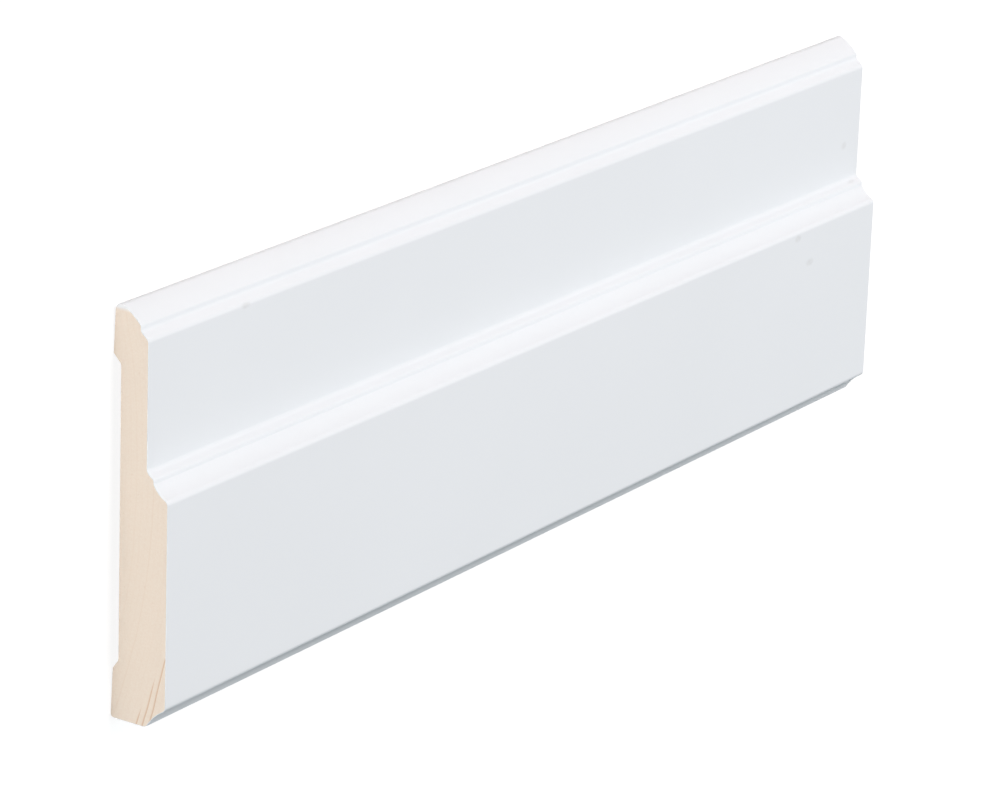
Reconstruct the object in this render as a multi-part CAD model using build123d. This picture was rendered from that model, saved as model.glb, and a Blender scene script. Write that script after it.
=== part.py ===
from build123d import *
import os

# A length of door casing lying on its back: X along the length, Y across the width, Z through the thickness.
# The thick coved edge is at -Y, the thin rounded edge at +Y, the moulded face looks up.

# stock
LENGTH = 300.0
WIDTH = 95.0
THICKNESS = 15.0

# thickness of the section at each level of the face
UPPER_FLAT_T = 9.35
FILLET_T = 11.2
QUIRK_T = 7.35
NOSE_START_T = 2.5
COVE_FOOT_T = 9.75

# widths measured in from the thick edge
COVE_RUN = 5.1
LOWER_FLAT_END = 53.1
OGEE_RUN = 3.3
FILLET_W = 1.0
STEP_RUN = 1.25

# widths measured in from the thin edge
NOSE_RUN = 3.8
QUIRK_W = 1.3
RISE_RUN = 1.6

# hollow or bulge of the curved stretches, measured from their chords
COVE_SAG = 0.55
OGEE_SAG = 0.45
NOSE_SAG = 0.25

# eased corners of the face
ARRIS_R = 1.4
OGEE_R = 1.4
STEP_OUT_R = 0.9
STEP_IN_R = 1.5
RISE_OUT_R = 1.4
RISE_IN_R = 1.0
NOSE_R = 0.7
NOSE_TOP_R = 1.2
FOOT_R = 1.2

# back: two lips that meet the wall, planed a little off its plane, with a shallow relief between them
THICK_LIP_W = 11.7
THIN_LIP_W = 11.3
LIP_LEAN = 0.5
RELIEF_DEPTH = 2.05
RELIEF_SIDE_RUN = 2.1
RELIEF_R = 1.0
BACK_LOWER_R = 1.0
BACK_UPPER_R = 1.4


def low(y, z):
    """Section point y in from the thick edge and z above the back."""
    return (y - WIDTH / 2, z)


def high(y, z):
    """Section point y in from the thin edge and z above the back."""
    return (WIDTH / 2 - y, z)


rise_end = NOSE_RUN + QUIRK_W + RISE_RUN
step_start = LOWER_FLAT_END + OGEE_RUN + FILLET_W

arris = low(COVE_RUN, THICKNESS)
foot = low(0, COVE_FOOT_T)
ogee_top = low(LOWER_FLAT_END, THICKNESS)
ogee_foot = low(LOWER_FLAT_END + OGEE_RUN, FILLET_T)
step_top = low(step_start, FILLET_T)
step_foot = low(step_start + STEP_RUN, UPPER_FLAT_T)
rise_top = high(rise_end, UPPER_FLAT_T)
rise_foot = high(NOSE_RUN + QUIRK_W, QUIRK_T)
nose_foot = high(NOSE_RUN, QUIRK_T)
nose_top = high(0, NOSE_START_T)
back_upper = high(0, LIP_LEAN)
lip_upper = high(THIN_LIP_W, 0)
relief_upper = high(THIN_LIP_W + RELIEF_SIDE_RUN, RELIEF_DEPTH)
relief_lower = low(THICK_LIP_W + RELIEF_SIDE_RUN, RELIEF_DEPTH)
lip_lower = low(THICK_LIP_W, LIP_LEAN)
back_lower = low(0, 0)

eased = [
    (arris, ARRIS_R),
    (foot, FOOT_R),
    (ogee_top, OGEE_R),
    (step_top, STEP_OUT_R),
    (step_foot, STEP_IN_R),
    (rise_top, RISE_OUT_R),
    (rise_foot, RISE_IN_R),
    (nose_foot, NOSE_R),
    (nose_top, NOSE_TOP_R),
    (back_upper, BACK_UPPER_R),
    (relief_upper, RELIEF_R),
    (relief_lower, RELIEF_R),
    (back_lower, BACK_LOWER_R),
]

with BuildPart() as casing:
    with BuildSketch(Plane.YZ) as section:
        with BuildLine():
            Polyline(back_lower, foot)
            SagittaArc(foot, arris, -COVE_SAG)
            Polyline(arris, ogee_top)
            SagittaArc(ogee_top, ogee_foot, -OGEE_SAG)
            Polyline(ogee_foot, step_top, step_foot, rise_top, rise_foot, nose_foot)
            SagittaArc(nose_foot, nose_top, NOSE_SAG)
            Polyline(nose_top, back_upper, lip_upper, relief_upper, relief_lower, lip_lower, back_lower)
        make_face()
        for corner, radius in eased:
            fillet(section.vertices().sort_by_distance(corner)[0], radius)
    extrude(amount=LENGTH / 2, both=True)

os.makedirs("parts", exist_ok=True)
export_step(casing.part, "parts/casing_moulding.step")
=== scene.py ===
import math

import bmesh
import bpy
from mathutils import Matrix, Vector


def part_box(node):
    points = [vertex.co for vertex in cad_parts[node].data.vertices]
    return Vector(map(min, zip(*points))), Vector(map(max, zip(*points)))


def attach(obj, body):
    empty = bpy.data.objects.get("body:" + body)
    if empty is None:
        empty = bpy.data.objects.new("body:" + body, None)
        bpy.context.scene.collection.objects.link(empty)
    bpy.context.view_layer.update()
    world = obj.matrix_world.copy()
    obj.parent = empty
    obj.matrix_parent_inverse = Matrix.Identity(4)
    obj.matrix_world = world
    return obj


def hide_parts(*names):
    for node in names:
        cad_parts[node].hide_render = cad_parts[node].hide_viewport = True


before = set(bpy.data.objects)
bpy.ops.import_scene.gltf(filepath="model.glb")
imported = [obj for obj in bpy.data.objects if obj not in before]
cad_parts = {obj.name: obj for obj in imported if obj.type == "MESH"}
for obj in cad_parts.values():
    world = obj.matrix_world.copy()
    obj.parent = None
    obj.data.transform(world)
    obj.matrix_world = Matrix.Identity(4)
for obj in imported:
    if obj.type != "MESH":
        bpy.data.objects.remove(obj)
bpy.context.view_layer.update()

bl_info = {
    "name": "Painted door casing",
    "version": (1, 0, 0),
    "blender": (4, 5, 0),
    "location": "View3D > Sidebar > Casing",
    "description": "Mills a length of painted door casing from a blank and sets it on a studio floor",
    "category": "Object",
}

MM = 0.001
LOW, HIGH = (Vector(corner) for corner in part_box("casing_moulding"))
NEAR_END = LOW.x

# how near two places count as the same when corners are picked, and the finer limit of a cut
TOUCH = 0.01 * MM
CUT_LIMIT = TOUCH / 10
# share of a face's normal along an axis above which the face counts as looking that way
FACING = 0.5
# faces that look down more than this are the unpainted back
BACK_FACING = -0.35
# roundings: least number of flats, and the turn in degrees that each flat takes
LEAST_FLATS = 4
FLAT_TURN = 8
# faces that meet at less than this angle, in degrees, are shaded as one curve
SMOOTH_TURN = 22


def length(name, mm, description):
    """A size property, given in millimetres."""
    return bpy.props.FloatProperty(
        name=name, description=description, default=mm * MM, min=0.0,
        precision=5, unit="LENGTH", subtype="DISTANCE",
    )


def power(name, watts, description):
    """A property for a lamp's power, given in watts."""
    return bpy.props.FloatProperty(
        name=name, description=description, default=watts, min=0.0, unit="POWER",
    )


def linear(code):
    """Turns an sRGB hex colour into linear red, green and blue."""
    parts = [int(code[i:i + 2], 16) / 255 for i in (1, 3, 5)]
    return tuple(c / 12.92 if c <= 0.04045 else ((c + 0.055) / 1.055) ** 2.4 for c in parts)


def colour(name, code, description):
    """A colour property, given as an sRGB hex value."""
    return bpy.props.FloatVectorProperty(
        name=name, description=description, default=linear(code), size=3,
        min=0.0, max=1.0, subtype="COLOR",
    )


class CasingSizes(bpy.types.PropertyGroup):
    """Section of the casing, measured as on the drawing of the solid"""

    length: length("Length", (HIGH.x - LOW.x) / MM, "Length between the cut ends")
    width: length("Width", (HIGH.y - LOW.y) / MM, "Width from the thick edge to the thin edge")
    thickness: length("Thickness", (HIGH.z - LOW.z) / MM, "Thickness at the lower flat")

    cove_foot: length("Cove foot", 9.75, "Height of the cove's foot on the thick edge")
    fillet_level: length("Fillet level", 11.2, "Height of the narrow fillet below the ogee")
    upper_flat: length("Upper flat", 9.35, "Height of the upper flat")
    quirk_level: length("Quirk level", 7.35, "Height of the quirk beside the nose")
    nose_start: length("Nose start", 2.5, "Height at which the nose leaves the thin edge")

    cove_run: length("Cove run", 5.1, "Width of the cove")
    lower_flat_end: length("Lower flat end", 53.1, "From the thick edge to the end of the lower flat")
    ogee_run: length("Ogee run", 3.3, "Width of the hollow below the lower flat")
    fillet_width: length("Fillet width", 1.0, "Width of the narrow fillet")
    step_run: length("Step run", 1.25, "Width of the slope down to the upper flat")
    nose_run: length("Nose run", 3.8, "Width of the nose")
    quirk_width: length("Quirk width", 1.3, "Width of the quirk")
    rise_run: length("Rise run", 1.6, "Width of the slope from the upper flat to the quirk")

    cove_sag: length("Cove sag", 0.55, "Depth of the cove below its chord")
    ogee_sag: length("Ogee sag", 0.45, "Depth of the hollow below its chord")
    nose_sag: length("Nose sag", 0.25, "Height of the nose above its chord")

    arris_r: length("Arris radius", 1.4, "Rounding between the cove and the lower flat")
    foot_r: length("Foot radius", 1.2, "Rounding below the cove")
    ogee_r: length("Ogee radius", 1.4, "Rounding between the lower flat and the hollow")
    step_out_r: length("Step outer radius", 0.9, "Rounding at the top of the step")
    step_in_r: length("Step inner radius", 1.5, "Hollow at the foot of the step")
    rise_out_r: length("Rise outer radius", 1.4, "Rounding at the end of the upper flat")
    rise_in_r: length("Rise inner radius", 1.0, "Hollow at the start of the quirk")
    nose_r: length("Nose radius", 0.7, "Rounding between the quirk and the nose")
    nose_top_r: length("Nose top radius", 1.2, "Rounding between the nose and the thin edge")

    thick_lip: length("Thick lip", 11.7, "Width of the back's lip along the thick edge")
    thin_lip: length("Thin lip", 11.3, "Width of the back's lip along the thin edge")
    lip_lean: length("Lip lean", 0.5, "How far each lip leaves the plane of the wall across its width")
    relief_depth: length("Relief depth", 2.05, "Depth of the relief between the lips")
    relief_side: length("Relief side", 2.1, "Width of each sloping side of the relief")
    relief_r: length("Relief radius", 1.0, "Hollow along each side of the relief")
    back_lower_r: length("Thick back radius", 1.0, "Rounding of the back along the thick edge")
    back_upper_r: length("Thin back radius", 1.4, "Rounding of the back along the thin edge")

    paint_film: length("Paint film", 0.12, "Thickness of the paint, seen round each cut end")


class CasingFinish(bpy.types.PropertyGroup):
    """Colours of the paint and of the bare wood"""

    paint: colour("Paint", "#E6EAED", "Satin white paint")
    paint_thin: colour("Thin paint", "#E3E7EA", "Paint where the coat is thinner")
    knock: colour("Knock", "#DADDDF", "Small knocks and rubbed spots in the paint")
    earlywood: colour("Earlywood", "#E7DBCC", "Pale wood of a growth ring")
    latewood: colour("Latewood", "#C99F78", "Dark line that ends a growth ring")
    resin: colour("Resin", "#B98E68", "Resin canals")


class CasingStage(bpy.types.PropertyGroup):
    """Studio floor and lights"""

    floor: colour("Floor", "#EDEBEA", "Matt pale floor as it lights the object")
    shade: colour("Shade card", "#9A9A9A", "Grey card beside the thick edge, which keeps it in shade")
    ambient: bpy.props.FloatProperty(
        name="Room light", description="Light from the rest of the room",
        default=0.03, min=0.0, subtype="FACTOR",
    )
    key: power("Key panel", 72.0, "Soft panel beyond the thin edge")
    key_tint: colour("Key tint", "#FFF2EF", "Slightly warm light of the key panel")
    top: power("Top panel", 38.5, "Soft panel overhead")
    top_tint: colour("Top tint", "#E7F9FF", "Slightly cool light of the top panel")
    end: power("End panel", 11.2, "Low panel facing the near cut end")
    end_tint: colour("End tint", "#FFFFFF", "Plain light of the end panel")


# corners of the section in the order in which they are cut, from the thick edge to the thin edge
FACE_CORNERS = ("foot", "arris", "ogee_top", "ogee_foot", "step_top", "step_foot",
                "rise_top", "rise_foot", "nose_foot", "nose_top")
BACK_CORNERS = ("lip_lower", "relief_lower", "relief_upper", "lip_upper")
# corners of the back that lie above the plane of the wall
RAISED_CORNERS = ("lip_lower", "relief_lower", "relief_upper", "back_upper")

# where each curved stretch is cut, in shares of its chord; its first and last pieces are long enough for the
# roundings beside them
COVE_CUTS = (0.15, 0.27, 0.39, 0.51, 0.63, 0.74, 0.84)
OGEE_CUTS = (0.20, 0.34, 0.48, 0.62, 0.76, 0.88)
NOSE_CUTS = (0.10, 0.22, 0.34, 0.46, 0.58, 0.70, 0.82)

# corners that are rounded, each with the property that holds its radius
EASED_CORNERS = (
    ("arris", "arris_r"), ("foot", "foot_r"), ("ogee_top", "ogee_r"),
    ("step_top", "step_out_r"), ("step_foot", "step_in_r"),
    ("rise_top", "rise_out_r"), ("rise_foot", "rise_in_r"),
    ("nose_foot", "nose_r"), ("nose_top", "nose_top_r"),
    ("relief_upper", "relief_r"), ("relief_lower", "relief_r"),
    ("back_upper", "back_upper_r"), ("back_lower", "back_lower_r"),
)


def section_corners(sizes):
    """Corners of the section before they are eased: across the width, and up from the back."""
    thick, thin = -sizes.width / 2, sizes.width / 2
    ogee_end = thick + sizes.lower_flat_end + sizes.ogee_run
    step_start = ogee_end + sizes.fillet_width
    quirk_start = thin - sizes.nose_run - sizes.quirk_width
    places = {
        "foot": (thick, sizes.cove_foot),
        "arris": (thick + sizes.cove_run, sizes.thickness),
        "ogee_top": (thick + sizes.lower_flat_end, sizes.thickness),
        "ogee_foot": (ogee_end, sizes.fillet_level),
        "step_top": (step_start, sizes.fillet_level),
        "step_foot": (step_start + sizes.step_run, sizes.upper_flat),
        "rise_top": (quirk_start - sizes.rise_run, sizes.upper_flat),
        "rise_foot": (quirk_start, sizes.quirk_level),
        "nose_foot": (thin - sizes.nose_run, sizes.quirk_level),
        "nose_top": (thin, sizes.nose_start),
        "back_upper": (thin, sizes.lip_lean),
        "lip_upper": (thin - sizes.thin_lip, 0.0),
        "relief_upper": (thin - sizes.thin_lip - sizes.relief_side, sizes.relief_depth),
        "relief_lower": (thick + sizes.thick_lip + sizes.relief_side, sizes.relief_depth),
        "lip_lower": (thick + sizes.thick_lip, sizes.lip_lean),
        "back_lower": (thick, 0.0),
    }
    return {name: Vector(place) for name, place in places.items()}


def across(place):
    """Where a point of the mesh lies in the section."""
    return Vector((place.y, place.z))


def cut_end(face):
    """True for a face of one of the two cut ends."""
    return abs(face.normal.x) > FACING


def pick(kind, wanted):
    """Selects only the vertices, edges or faces that pass a test. Returns the edit mesh and them."""
    # the caller keeps the edit mesh for as long as it uses what was found
    bpy.ops.mesh.select_mode(type={"verts": "VERT", "edges": "EDGE", "faces": "FACE"}[kind])
    bpy.ops.mesh.select_all(action="DESELECT")
    mesh = bpy.context.edit_object.data
    shape = bmesh.from_edit_mesh(mesh)
    found = [element for element in getattr(shape, kind) if wanted(element)]
    if not found:
        raise RuntimeError("nothing to pick among the " + kind)
    for element in found:
        element.select_set(True)
    shape.select_flush_mode()
    bmesh.update_edit_mesh(mesh)
    return shape, found


def cut_along(y, upward):
    """Cuts the face or the back along the length, y across the width."""
    pick("faces", lambda f: f.normal.z * upward > FACING)
    bpy.ops.mesh.bisect(plane_co=(0.0, y, 0.0), plane_no=(0.0, 1.0, 0.0), threshold=CUT_LIMIT)


def plane_down(corner, from_level):
    """Moves one cut line from the blank's surface to its corner of the section."""
    pick("verts", lambda v: abs(v.co.y - corner.x) < TOUCH and abs(v.co.z - from_level) < TOUCH)
    bpy.ops.transform.translate(value=(0.0, 0.0, corner.y - from_level))


def bow(start, end, sag, cuts):
    """Bends the strip between two corners to a shallow curve, hollow where the sag is negative."""
    chord = end - start
    outward = Vector((-chord.y, chord.x)).normalized()

    def on_strip(face):
        reach = across(face.calc_center_median()) - start
        if cut_end(face) or abs(reach.dot(outward)) >= TOUCH:
            return False
        return 0.0 < reach.dot(chord) < chord.length_squared

    for share in cuts:
        at = start + chord * share
        pick("faces", on_strip)
        bpy.ops.mesh.bisect(plane_co=(0.0, *at), plane_no=(0.0, *chord), threshold=CUT_LIMIT)
    for share in cuts:
        at = start + chord * share
        pick("verts", lambda v: (across(v.co) - at).length < TOUCH)
        bpy.ops.transform.translate(value=(0.0, *(outward * 4 * sag * share * (1 - share))))


def ease(corner, radius):
    """Rounds the long edge at a corner of the section."""
    shape, edges = pick("edges", lambda e: all((across(v.co) - corner).length < TOUCH for v in e.verts))
    turn = edges[0].calc_face_angle()
    bpy.ops.mesh.bevel(
        offset_type="OFFSET", offset=radius * math.tan(turn / 2), affect="EDGES",
        segments=max(LEAST_FLATS, round(math.degrees(turn) / FLAT_TURN)), profile=0.5,
    )


def bare(face):
    """True for the cut ends inside their paint film and for the back, which have no paint."""
    if not cut_end(face):
        return face.normal.z < BACK_FACING
    beside = [f for e in face.edges for f in e.link_faces if not cut_end(f)]
    return not beside or beside[0].normal.z < BACK_FACING


def add(tree, kind, sockets=None, **settings):
    """Adds a node with its settings, and fills or links the sockets that are named or numbered."""
    # Map Range: 0 the value, 1 and 2 the range it comes from, 3 and 4 the range it goes to.
    # Mix of colours: 0 the share, 6 and 7 the two colours, result at 2.
    node = tree.nodes.new(kind)
    for name, value in settings.items():
        setattr(node, name, value)
    for name, value in (sockets or {}).items():
        if isinstance(value, bpy.types.NodeSocket):
            tree.links.new(value, node.inputs[name])
        else:
            node.inputs[name].default_value = value
    return node


def new_material(name):
    """A material with an empty tree, and that tree."""
    material = bpy.data.materials.new(name)
    material.use_nodes = True
    material.node_tree.nodes.clear()
    return material, material.node_tree


def stretched(long, wide):
    """Scale of a pattern so long along the board and so wide across it, in millimetres."""
    return (1 / (long * MM), 1 / (wide * MM), 1 / (wide * MM))


# paint, in millimetres: patches of coat, raised grain along and across the board, spray pebble, and crumbs
# in a knock
COAT_PATCH = 45.0
GRAIN_LONG = 70.0
GRAIN_WIDE = 1.1
PEBBLE = 1.4
CRUMB = 0.6
# how far the grain and the pebble stand up and how deep the knocks are
GRAIN_LIFT = 0.010
PEBBLE_LIFT = 0.006
KNOCK_DEPTH = 0.03
# small knocks in the paint: place on the board, length along it and width across it
KNOCKS = (
    ((-115.8, 40.3, 9.2), 2.2, 1.0),
    ((142.6, 20.8, 9.35), 1.7, 1.5),
    ((146.0, 10.4, 10.1), 2.6, 0.8),
    ((111.7, 3.8, 15.0), 2.1, 1.3),
    ((118.3, -4.0, 15.0), 2.5, 1.3),
)


def knock_marks(tree, place):
    """Full in the middle of each knock, fading out at its edge."""
    marks = 0.0
    for centre, long, wide in KNOCKS:
        size = Vector((long, wide, wide)) * MM
        spot = add(tree, "ShaderNodeMapping", {
            "Vector": place, "Scale": [1 / n for n in size],
            "Location": [-c * MM / n for c, n in zip(centre, size)]})
        reach = add(tree, "ShaderNodeVectorMath", {0: spot.outputs[0]}, operation="LENGTH")
        fade = add(tree, "ShaderNodeMapRange", {0: reach.outputs["Value"], 1: 0.25, 2: 1.0, 3: 1.0, 4: 0.0},
                   interpolation_type="SMOOTHSTEP")
        marks = add(tree, "ShaderNodeMath", {0: marks, 1: fade.outputs[0]}, operation="MAXIMUM").outputs[0]
    return marks


def satin_paint(finish):
    """Water-based acrylic, sprayed over primer on planed pine."""
    # It dries to an even cool white with a soft sheen. The grain below lifts it in long faint lines, the
    # spray leaves a slight pebble, and a few small knocks show grey.
    paint, tree = new_material("satin_acrylic_sprayed")
    place = add(tree, "ShaderNodeTexCoord").outputs["Object"]

    # coat: thicker and thinner over hand-wide patches
    cloud = add(tree, "ShaderNodeTexNoise", {
        "Vector": place, "Scale": 1 / (COAT_PATCH * MM), "Detail": 2.0})
    tone = add(tree, "ShaderNodeMix", {
        0: cloud.outputs["Fac"], 6: (*finish.paint, 1), 7: (*finish.paint_thin, 1)}, data_type="RGBA")

    # knocks, each a soft-edged spot broken up by a fine noise
    marks = knock_marks(tree, place)
    crumb = add(tree, "ShaderNodeTexNoise", {"Vector": place, "Scale": 1 / (CRUMB * MM), "Detail": 3.0})
    broken = add(tree, "ShaderNodeMapRange", {0: crumb.outputs["Fac"], 1: 0.3, 2: 0.6, 3: 0.45, 4: 1.0})
    worn = add(tree, "ShaderNodeMath", {0: broken.outputs[0], 1: marks}, operation="MULTIPLY")
    tone = add(tree, "ShaderNodeMix", {0: worn.outputs[0], 6: tone.outputs[2], 7: (*finish.knock, 1)},
               data_type="RGBA")

    # raised grain runs along the board; the pebble is the same both ways
    along = add(tree, "ShaderNodeMapping", {"Vector": place, "Scale": stretched(GRAIN_LONG, GRAIN_WIDE)})
    grain = add(tree, "ShaderNodeTexNoise", {"Vector": along.outputs[0], "Scale": 1.0, "Detail": 3.0})
    pebble = add(tree, "ShaderNodeTexNoise", {"Vector": place, "Scale": 1 / (PEBBLE * MM), "Detail": 1.0})
    lifted = add(tree, "ShaderNodeBump", {
        "Height": grain.outputs["Fac"], "Strength": 1.0, "Distance": GRAIN_LIFT * MM})
    sprayed = add(tree, "ShaderNodeBump", {
        "Height": pebble.outputs["Fac"], "Strength": 1.0, "Distance": PEBBLE_LIFT * MM,
        "Normal": lifted.outputs[0]})
    dented = add(tree, "ShaderNodeBump", {
        "Height": marks, "Strength": 1.0, "Distance": KNOCK_DEPTH * MM,
        "Normal": sprayed.outputs[0]}, invert=True)
    sheen = add(tree, "ShaderNodeMapRange", {0: grain.outputs["Fac"], 1: 0.3, 2: 0.7, 3: 0.60, 4: 0.70})

    shader = add(tree, "ShaderNodeBsdfPrincipled", {
        "Base Color": tone.outputs[2], "Roughness": sheen.outputs[0], "Normal": dented.outputs[0],
        "IOR": 1.46, "Specular IOR Level": 0.12})
    add(tree, "ShaderNodeOutputMaterial", {"Surface": shader.outputs[0]})
    return paint


# growth rings, in millimetres: heart of the log across and below the section, its skew to the board in
# degrees, spacing, and the edge of one ring with the number that the next one has
HEART = (12.5, -165.0)
HEART_SKEW = (0.0, 0.9, 0.5)
RING = 1.5
RING_EDGE = 185.25
FIRST_RING = 100.0
# how far the rings wander from true circles, and over what length and width
WANDER = 0.9
WANDER_LONG = 120.0
WANDER_WIDE = 22.0
# the few dark rings near the thick edge: where they begin and end from the heart, and how strong they are
DARK_FROM = (183.0, 183.5)
DARK_TO = (185.3, 185.8)
DARK_WEIGHT = 0.68
# their beginning holds at this place in from the thick edge, and moves out by this much for each millimetre
# further in
DARK_INSET = 9.0
DARK_SLANT = 0.2
# fibres and resin canals along and across the board, and the ripple that the planer leaves
FIBRE_LONG = 35.0
FIBRE_WIDE = 0.5
CANAL_LONG = 30.0
CANAL_WIDE = 2.6
RIPPLE = 10.05
FIBRE_LIFT = 0.03
RIPPLE_LIFT = 0.004
# a wave texture turns through this many radians in one unit of its scaled coordinates
WAVE_TURN = 20
# paint on the bare wood: band of overspray in from the edges of the back, how ragged it is and the size of
# its droplets, and the band in from the thin edge where paint has wrapped round the nose
SPRAY_BAND = (3.5, 1.0)
SPRAY_RAGGED = 3.0
DROPLET = 1.2
WRAP_BAND = (1.5, 0.7)


def growth_lines(tree, place, aside, sizes):
    """Strength of the dark line that ends each growth ring: faint in most, strong in the few dark rings."""
    # distance from the heart, which runs a little askew so that the rings drift along the board
    log = add(tree, "ShaderNodeMapping", {
        "Vector": place, "Location": (NEAR_END, HEART[0] * MM, HEART[1] * MM),
        "Rotation": [math.radians(turn) for turn in HEART_SKEW]}, vector_type="TEXTURE")
    flat = add(tree, "ShaderNodeVectorMath", {0: log.outputs[0], 1: (0.0, 1.0, 1.0)}, operation="MULTIPLY")
    radius = add(tree, "ShaderNodeVectorMath", {0: flat.outputs[0]}, operation="LENGTH")
    slow = add(tree, "ShaderNodeMapping", {"Vector": place, "Scale": stretched(WANDER_LONG, WANDER_WIDE)})
    wander = add(tree, "ShaderNodeTexNoise", {"Vector": slow.outputs[0], "Scale": 1.0, "Detail": 2.0})
    drift = add(tree, "ShaderNodeMapRange", {
        0: wander.outputs["Fac"], 1: 0.0, 2: 1.0, 3: -WANDER * MM, 4: WANDER * MM})
    reach = add(tree, "ShaderNodeMath", {0: radius.outputs["Value"], 1: drift.outputs[0]}, operation="ADD")

    # each ring darkens towards its outer edge
    years = add(tree, "ShaderNodeMapRange", {
        0: reach.outputs[0], 1: RING_EDGE * MM, 2: (RING_EDGE + RING) * MM,
        3: FIRST_RING, 4: FIRST_RING + 1}, clamp=False)
    season = add(tree, "ShaderNodeMath", {0: years.outputs[0]}, operation="FRACT")
    line = add(tree, "ShaderNodeMapRange", {0: season.outputs[0], 1: 0.6, 2: 1.0, 3: 0.0, 4: 1.0},
               interpolation_type="SMOOTHERSTEP")

    # most rings are faint, and a rare one less so
    year = add(tree, "ShaderNodeMath", {0: years.outputs[0]}, operation="FLOOR")
    luck = add(tree, "ShaderNodeTexWhiteNoise", {"W": year.outputs[0]}, noise_dimensions="1D")
    rare = add(tree, "ShaderNodeMapRange", {0: luck.outputs["Value"], 1: 0.7, 2: 1.0, 3: 0.03, 4: 0.25})

    # dark rings near the thick edge
    slant = add(tree, "ShaderNodeMath", {0: aside, 1: -DARK_SLANT, 2: reach.outputs[0]},
                operation="MULTIPLY_ADD")
    lift = DARK_SLANT * (sizes.width / 2 - DARK_INSET * MM)
    begun = add(tree, "ShaderNodeMapRange", {
        0: slant.outputs[0], 1: DARK_FROM[0] * MM + lift, 2: DARK_FROM[1] * MM + lift,
        3: 0.0, 4: DARK_WEIGHT})
    over = add(tree, "ShaderNodeMapRange", {
        0: reach.outputs[0], 1: DARK_TO[0] * MM, 2: DARK_TO[1] * MM, 3: 1.0, 4: 0.0})
    dark = add(tree, "ShaderNodeMath", {0: begun.outputs[0], 1: over.outputs[0]}, operation="MULTIPLY")

    weight = add(tree, "ShaderNodeMath", {0: dark.outputs[0], 1: rare.outputs[0]}, operation="MAXIMUM")
    line = add(tree, "ShaderNodeMath", {0: line.outputs[0], 1: weight.outputs[0]}, operation="MULTIPLY")
    return line.outputs[0]


def stray_paint(tree, place, facing, aside, sizes):
    """Share of paint on the bare wood: overspray along the edges of the back, and paint round the nose."""
    half = sizes.width / 2
    off = add(tree, "ShaderNodeMath", {0: aside}, operation="ABSOLUTE")
    mist = add(tree, "ShaderNodeTexNoise", {
        "Vector": place, "Scale": 1 / (DROPLET * MM), "Detail": 4.0, "Roughness": 0.7})
    ragged = add(tree, "ShaderNodeMapRange", {
        0: mist.outputs["Fac"], 1: 0.0, 2: 1.0, 3: -SPRAY_RAGGED * MM, 4: SPRAY_RAGGED * MM})
    edge = add(tree, "ShaderNodeMath", {0: off.outputs[0], 1: ragged.outputs[0]}, operation="ADD")
    spray = add(tree, "ShaderNodeMapRange", {
        0: edge.outputs[0], 1: half - SPRAY_BAND[0] * MM, 2: half - SPRAY_BAND[1] * MM, 3: 0.0, 4: 0.9})
    under = add(tree, "ShaderNodeMapRange", {0: facing, 1: -0.3, 2: -0.2, 3: 1.0, 4: 0.0})
    spray = add(tree, "ShaderNodeMath", {0: spray.outputs[0], 1: under.outputs[0]}, operation="MULTIPLY")
    wrapped = add(tree, "ShaderNodeMapRange", {
        0: aside, 1: half - WRAP_BAND[0] * MM, 2: half - WRAP_BAND[1] * MM, 3: 0.0, 4: 0.9})
    either = add(tree, "ShaderNodeMath", {0: spray.outputs[0], 1: wrapped.outputs[0]}, operation="MAXIMUM")
    return either.outputs[0]


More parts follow.
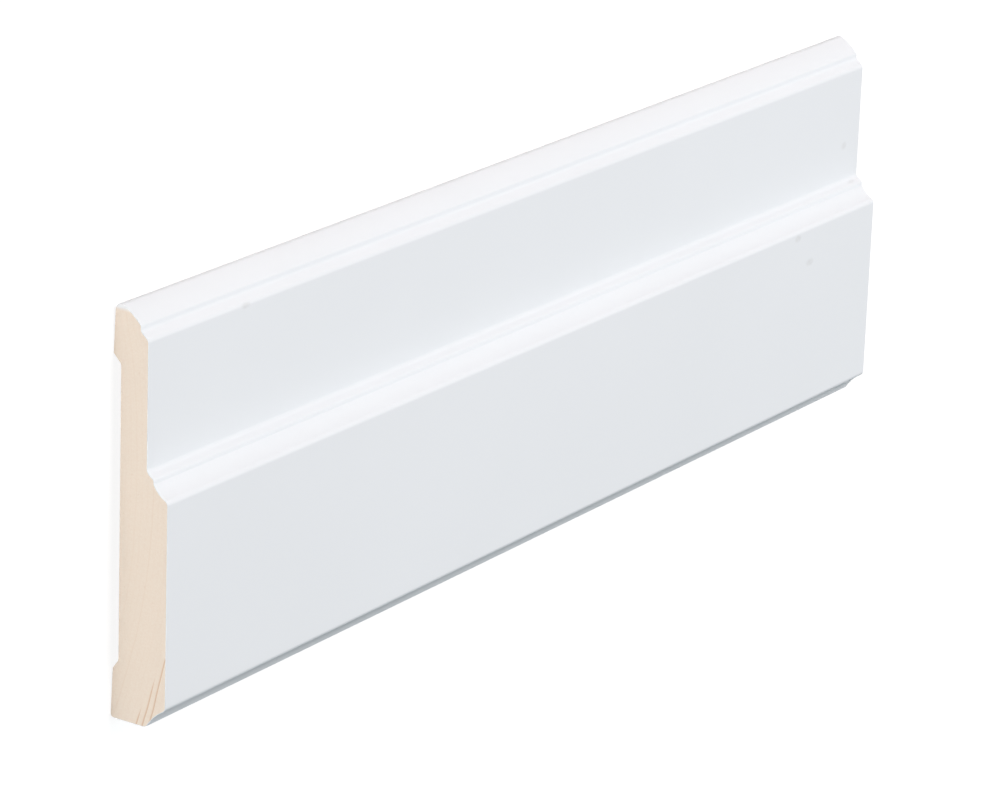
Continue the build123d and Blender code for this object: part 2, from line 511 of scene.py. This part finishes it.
def bare_pine(finish, sizes):
    """Pine, sawn across at the ends and planed on the back."""
    # Pale wood with fine darker lines where each year's growth ends: arcs on the cut ends, long streaks on
    # the back. Resin canals show as specks, the overspray of the face fades out along the edges of the back,
    # and paint has wrapped round the tip of the nose at the cut ends.
    pine, tree = new_material("pine_sawn_and_planed")
    coords = add(tree, "ShaderNodeTexCoord")
    place = coords.outputs["Object"]
    facing = add(tree, "ShaderNodeSeparateXYZ", {0: coords.outputs["Normal"]}).outputs["Z"]
    aside = add(tree, "ShaderNodeSeparateXYZ", {0: place}).outputs["Y"]

    line = growth_lines(tree, place, aside, sizes)
    tone = add(tree, "ShaderNodeMix", {0: line, 6: (*finish.earlywood, 1), 7: (*finish.latewood, 1)},
               data_type="RGBA")

    # fibres: dots on the ends, streaks on the back
    fine = add(tree, "ShaderNodeMapping", {"Vector": place, "Scale": stretched(FIBRE_LONG, FIBRE_WIDE)})
    fibre = add(tree, "ShaderNodeTexNoise", {
        "Vector": fine.outputs[0], "Scale": 1.0, "Detail": 3.0, "Roughness": 0.6})
    shade = add(tree, "ShaderNodeMapRange", {0: fibre.outputs["Fac"], 1: 0.25, 2: 0.75, 3: 0.0, 4: 0.12})
    tone = add(tree, "ShaderNodeMix", {0: shade.outputs[0], 6: tone.outputs[2], 7: (*finish.latewood, 1)},
               data_type="RGBA")

    # resin canals
    canal = add(tree, "ShaderNodeMapping", {"Vector": place, "Scale": stretched(CANAL_LONG, CANAL_WIDE)})
    cell = add(tree, "ShaderNodeTexVoronoi", {"Vector": canal.outputs[0], "Scale": 1.0})
    speck = add(tree, "ShaderNodeMapRange", {0: cell.outputs["Distance"], 1: 0.05, 2: 0.10, 3: 0.1, 4: 0.0})
    tone = add(tree, "ShaderNodeMix", {0: speck.outputs[0], 6: tone.outputs[2], 7: (*finish.resin, 1)},
               data_type="RGBA")

    spray = stray_paint(tree, place, facing, aside, sizes)
    tone = add(tree, "ShaderNodeMix", {0: spray, 6: tone.outputs[2], 7: (*finish.paint, 1)},
               data_type="RGBA")

    # planer ripple across the back, fibre lifted everywhere
    ripple = add(tree, "ShaderNodeTexWave", {
        "Vector": place, "Scale": math.tau / (WAVE_TURN * RIPPLE * MM), "Distortion": 0.0},
        wave_type="BANDS", bands_direction="X")
    rough = add(tree, "ShaderNodeBump", {
        "Height": fibre.outputs["Fac"], "Strength": 1.0, "Distance": FIBRE_LIFT * MM})
    planed = add(tree, "ShaderNodeBump", {
        "Height": ripple.outputs["Fac"], "Strength": 1.0, "Distance": RIPPLE_LIFT * MM,
        "Normal": rough.outputs[0]})
    dull = add(tree, "ShaderNodeMapRange", {0: fibre.outputs["Fac"], 1: 0.3, 2: 0.7, 3: 0.70, 4: 0.85})

    shader = add(tree, "ShaderNodeBsdfPrincipled", {
        "Base Color": tone.outputs[2], "Roughness": dull.outputs[0], "Normal": planed.outputs[0], "IOR": 1.5})
    add(tree, "ShaderNodeOutputMaterial", {"Surface": shader.outputs[0]})
    return pine


def mould(sizes):
    """Cuts the section into a blank that is open in edit mode, and rounds its corners."""
    corner = section_corners(sizes)

    # moulded face: cut along every corner, then plane each line down to its place
    for name in FACE_CORNERS[1:-1]:
        cut_along(corner[name].x, 1)
    for name in FACE_CORNERS:
        if corner[name].y < sizes.thickness:
            plane_down(corner[name], sizes.thickness)

    # back: relief between two lips that lean
    for name in BACK_CORNERS:
        cut_along(corner[name].x, -1)
    for name in RAISED_CORNERS:
        plane_down(corner[name], 0.0)

    # curved stretches
    bow(corner["foot"], corner["arris"], -sizes.cove_sag, COVE_CUTS)
    bow(corner["ogee_top"], corner["ogee_foot"], -sizes.ogee_sag, OGEE_CUTS)
    bow(corner["nose_foot"], corner["nose_top"], sizes.nose_sag, NOSE_CUTS)

    for name, radius in EASED_CORNERS:
        ease(corner[name], getattr(sizes, radius))


class CASING_OT_mill_board(bpy.types.Operator):
    """Mills the section from a blank of the full size and finishes its face, ends and back"""

    bl_idname = "casing.mill_board"
    bl_label = "Casing board"
    bl_options = {"REGISTER", "UNDO"}

    def execute(self, context):
        sizes, finish = context.scene.casing_sizes, context.scene.casing_finish

        # blank
        bpy.ops.object.select_all(action="DESELECT")
        bpy.ops.mesh.primitive_cube_add(size=1.0, location=(0.0, 0.0, sizes.thickness / 2))
        board = context.object
        board.name = board.data.name = "painted_casing"
        board.scale = (sizes.length, sizes.width, sizes.thickness)
        bpy.ops.object.transform_apply(location=True, rotation=False, scale=True)

        bpy.ops.object.mode_set(mode="EDIT")
        mould(sizes)

        # cut ends: the edge of the paint film round the bare wood
        pick("faces", cut_end)
        bpy.ops.mesh.inset(thickness=sizes.paint_film, depth=0.0, use_even_offset=True)

        board.data.materials.append(satin_paint(finish))
        board.data.materials.append(bare_pine(finish, sizes))
        pick("faces", bare)
        board.active_material_index = 1
        bpy.ops.object.material_slot_assign()
        bpy.ops.object.mode_set(mode="OBJECT")

        # flats stay flat right up to their roundings
        bpy.ops.object.shade_smooth_by_angle(angle=math.radians(SMOOTH_TURN))
        weighted = board.modifiers.new("flat_faces", "WEIGHTED_NORMAL")
        weighted.keep_sharp = True
        bpy.ops.object.modifier_apply(modifier=weighted.name)

        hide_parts("casing_moulding")
        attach(board, "root")
        return {"FINISHED"}


# camera: where it stands in the part's frame, which way it looks and which way is up in the picture
EYE = Vector((-0.928186, 0.363917, 0.614952))
LOOK = Vector((0.789377, -0.320821, -0.523411))
PICTURE_UP = Vector((0.247458, 0.946535, -0.206971))
LENS_MM = 176.18
SENSOR_MM = 36.0

# studio, in metres: floor, grey card along the thick edge, and how far each lies below the board
FLOOR_SIZE = 6.0
FLOOR_DROP = 0.05 * MM
CARD_WIDTH = 0.4
CARD_DROP = 0.02 * MM
# floor as the camera sees it: white of its own, and a little matt grey that takes the board's shadow
FLOOR_GLOW = 0.90
FLOOR_MATT = 0.20
# soft panels: where each stands, the point it faces, and its length and width
PANELS = (
    ("key", (0.4, 1.68, 2.49), (0.0, 0.0, 0.0), (1.6, 0.9)),
    ("top", (0.4, 0.26, 2.99), (0.0, 0.0, 0.0), (1.6, 0.9)),
    ("end", (-1.5, 0.1, 0.07), (0.0, 0.1, 0.0), (0.8, 0.12)),
)


def seen_directly(tree):
    """1 for the camera's rays and those through or off shiny surfaces, 0 for rays that light the object."""
    path = add(tree, "ShaderNodeLightPath")
    seen = path.outputs["Is Camera Ray"]
    for kind in ("Is Glossy Ray", "Is Transmission Ray"):
        seen = add(tree, "ShaderNodeMath", {0: seen, 1: path.outputs[kind]}, operation="MAXIMUM").outputs[0]
    return seen


def lay_floor(stage):
    """Matt pale floor that the camera sees as white, with the board's shadow kept on it."""
    bpy.ops.object.select_all(action="DESELECT")
    bpy.ops.mesh.primitive_plane_add(size=FLOOR_SIZE, location=(0.0, 0.0, -FLOOR_DROP))
    floor = bpy.context.object
    floor.name = "studio_floor"
    card, tree = new_material("matt_studio_card")
    matt = add(tree, "ShaderNodeBsdfDiffuse", {"Color": (*stage.floor, 1)})
    white = add(tree, "ShaderNodeEmission", {"Color": (1, 1, 1, 1), "Strength": FLOOR_GLOW})
    shadow = add(tree, "ShaderNodeBsdfDiffuse", {"Color": (FLOOR_MATT, FLOOR_MATT, FLOOR_MATT, 1)})
    shown = add(tree, "ShaderNodeAddShader", {0: white.outputs[0], 1: shadow.outputs[0]})
    both = add(tree, "ShaderNodeMixShader", {0: seen_directly(tree), 1: matt.outputs[0], 2: shown.outputs[0]})
    add(tree, "ShaderNodeOutputMaterial", {"Surface": both.outputs[0]})
    floor.data.materials.append(card)


def lay_shade_card(stage):
    """Grey card along the thick edge; the camera and reflections see the white floor through it."""
    bpy.ops.object.select_all(action="DESELECT")
    bpy.ops.mesh.primitive_plane_add(size=1.0)
    flag = bpy.context.object
    flag.name = "shade_card"
    bpy.ops.object.mode_set(mode="EDIT")
    bpy.ops.transform.resize(value=(HIGH.x - LOW.x, CARD_WIDTH, 1.0))
    bpy.ops.transform.translate(value=(0.0, LOW.y - CARD_WIDTH / 2, -CARD_DROP))
    bpy.ops.object.mode_set(mode="OBJECT")
    grey, tree = new_material("matt_grey_card")
    matt = add(tree, "ShaderNodeBsdfDiffuse", {"Color": (*stage.shade, 1)})
    add(tree, "ShaderNodeOutputMaterial", {"Surface": matt.outputs[0]})
    flag.data.materials.append(grey)
    flag.visible_camera = False
    flag.visible_glossy = False
    flag.visible_shadow = False


def light_room(scene, stage):
    """Dim even light from the room, which the camera sees as white."""
    world = scene.world or bpy.data.worlds.new("studio_room")
    scene.world = world
    world.use_nodes = True
    tree = world.node_tree
    tree.nodes.clear()
    level = add(tree, "ShaderNodeMapRange", {
        0: seen_directly(tree), 1: 0.0, 2: 1.0, 3: stage.ambient, 4: 1.0})
    room = add(tree, "ShaderNodeBackground", {"Color": (1, 1, 1, 1), "Strength": level.outputs[0]})
    add(tree, "ShaderNodeOutputWorld", {"Surface": room.outputs[0]})


def hang_panels(stage):
    """Soft panels beyond the thin edge, overhead and facing the near end; the thick edge is in shade."""
    for name, place, aim, size in PANELS:
        bpy.ops.object.light_add(type="AREA", location=place)
        lamp = bpy.context.object
        lamp.name = name + "_panel"
        lamp.data.shape = "RECTANGLE"
        lamp.data.size, lamp.data.size_y = size
        lamp.data.energy = getattr(stage, name)
        lamp.data.color = getattr(stage, name + "_tint")
        lamp.rotation_euler = (Vector(aim) - Vector(place)).to_track_quat("-Z", "Y").to_euler()
        lamp.visible_camera = False


def place_camera(scene):
    """Camera that sees the board as the photograph does."""
    bpy.ops.object.camera_add()
    camera = bpy.context.object
    camera.name = "photo_camera"
    right = LOOK.cross(PICTURE_UP).normalized()
    up = right.cross(LOOK).normalized()
    turn = Matrix((right, up, -LOOK.normalized())).transposed()
    camera.matrix_world = Matrix.Translation(EYE) @ turn.to_4x4()
    camera.data.lens = LENS_MM
    camera.data.sensor_width = SENSOR_MM
    scene.camera = camera


class CASING_OT_set_stage(bpy.types.Operator):
    """Adds the floor, the soft lights and the camera"""

    bl_idname = "casing.set_stage"
    bl_label = "Studio"
    bl_options = {"REGISTER", "UNDO"}

    def execute(self, context):
        scene, stage = context.scene, context.scene.casing_stage
        scene.view_settings.view_transform = "Standard"
        lay_floor(stage)
        lay_shade_card(stage)
        light_room(scene, stage)
        hang_panels(stage)
        place_camera(scene)
        return {"FINISHED"}


class CASING_PT_sidebar(bpy.types.Panel):
    """Lists the casing's sizes, colours and lights, with the operators that make it"""

    bl_idname = "CASING_PT_sidebar"
    bl_label = "Door casing"
    bl_space_type = "VIEW_3D"
    bl_region_type = "UI"
    bl_category = "Casing"

    def draw(self, context):
        scene = context.scene
        for operator, groups in (
            ("casing.mill_board", (scene.casing_sizes, scene.casing_finish)),
            ("casing.set_stage", (scene.casing_stage,)),
        ):
            box = self.layout.box()
            for group in groups:
                for name in type(group).__annotations__:
                    box.prop(group, name)
            box.operator(operator)


CLASSES = (
    CasingSizes, CasingFinish, CasingStage,
    CASING_OT_mill_board, CASING_OT_set_stage, CASING_PT_sidebar,
)


def register():
    for kind in CLASSES:
        bpy.utils.register_class(kind)
    bpy.types.Scene.casing_sizes = bpy.props.PointerProperty(type=CasingSizes)
    bpy.types.Scene.casing_finish = bpy.props.PointerProperty(type=CasingFinish)
    bpy.types.Scene.casing_stage = bpy.props.PointerProperty(type=CasingStage)


def unregister():
    del bpy.types.Scene.casing_stage
    del bpy.types.Scene.casing_finish
    del bpy.types.Scene.casing_sizes
    for kind in reversed(CLASSES):
        bpy.utils.unregister_class(kind)


def main():
    register()
    bpy.ops.casing.mill_board()
    bpy.ops.casing.set_stage()


if __name__ == "__main__":
    main()
